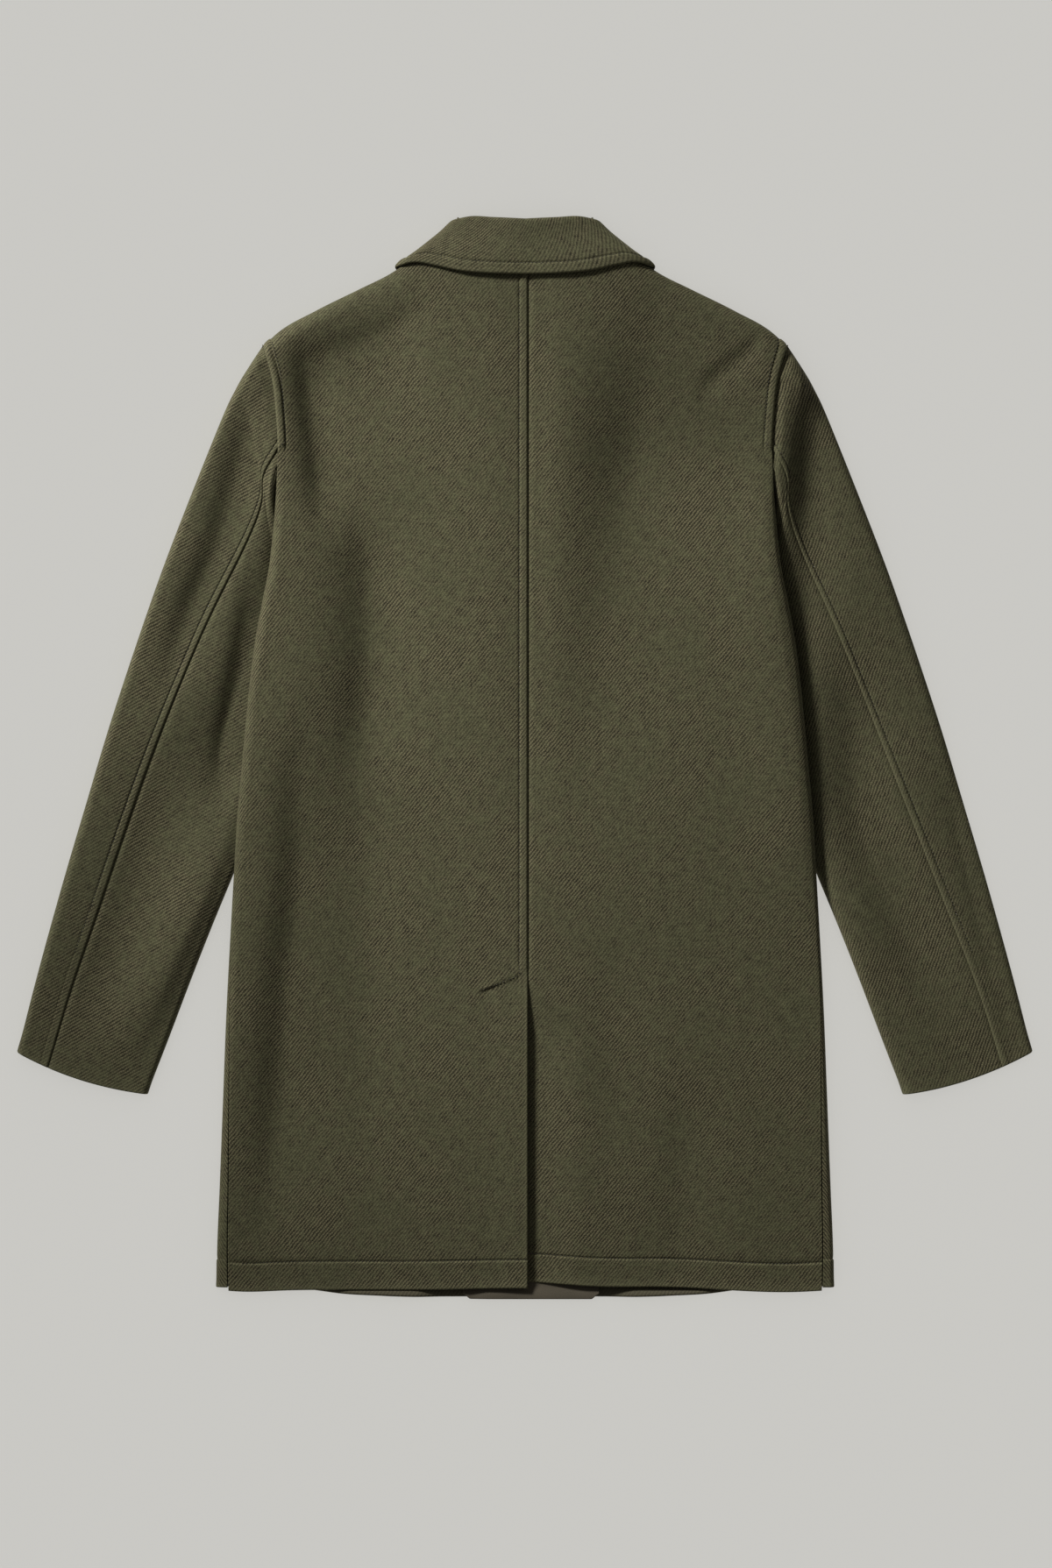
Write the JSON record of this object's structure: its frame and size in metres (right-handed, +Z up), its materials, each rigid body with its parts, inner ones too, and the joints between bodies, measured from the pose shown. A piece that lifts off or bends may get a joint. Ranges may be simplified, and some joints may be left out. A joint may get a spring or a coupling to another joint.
{
  "type": "wool coat",
  "caption": "Thigh-length single-breasted wool-twill coat laid flat with its back up: turn-down collar, centre-back seam with an overlapped vent, long set-in sleeves.",
  "frame": {"origin": "centre of the coat's outline on the surface it lies on", "axes": "+X to the wearer's right, +Y along the back towards the collar, +Z up from the surface through the back"},
  "size_m": [0.8926, 0.9515, 0.0298],
  "materials": {
    "wool_twill": "matt olive-brown wool twill with a soft nap",
    "facing_wool": "matt dark brown smooth wool"
  },
  "bodies": {
    "root": {"back_left": "wool_twill", "back_right": "wool_twill", "front_left": "wool_twill", "front_right": "wool_twill", "sleeve_top_left": "wool_twill", "sleeve_under_left": "wool_twill", "sleeve_top_right": "wool_twill", "sleeve_under_right": "wool_twill", "collar_leaf": "wool_twill", "collar_stand": "wool_twill", "front_facing": "facing_wool"}
  },
  "joints": []
}
